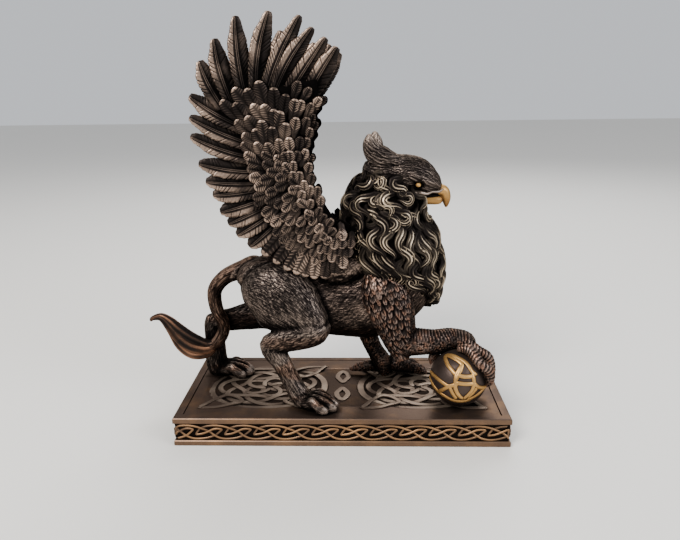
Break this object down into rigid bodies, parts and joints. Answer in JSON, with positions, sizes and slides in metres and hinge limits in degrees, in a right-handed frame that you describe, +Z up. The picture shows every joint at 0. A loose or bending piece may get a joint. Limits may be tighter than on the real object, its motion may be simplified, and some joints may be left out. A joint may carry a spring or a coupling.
{
  "type": "griffin statue",
  "caption": "Table-top bronze-finish griffin with raised wings and curled mane, one claw on a banded orb, on a rectangular plinth with interlace carving.",
  "frame": {"origin": "centre of the plinth's underside, which stands on the table", "axes": "+Z up, +X the way the griffin faces, along the plinth's long side; -Y is the side of the near claw and orb"},
  "size_m": [0.2265, 0.088, 0.2433],
  "materials": {
    "plinth_bronze": "warm brown bronze paint, satin, darker in the carving",
    "griffin_bronze": "near-black bronze paint with tan-gold dry-brushed edges, satin",
    "orb_gilt": "antique gold bands over dark bronze, satin"
  },
  "bodies": {
    "root": {"plinth": "plinth_bronze", "griffin": "griffin_bronze", "orb": "orb_gilt"}
  },
  "joints": []
}
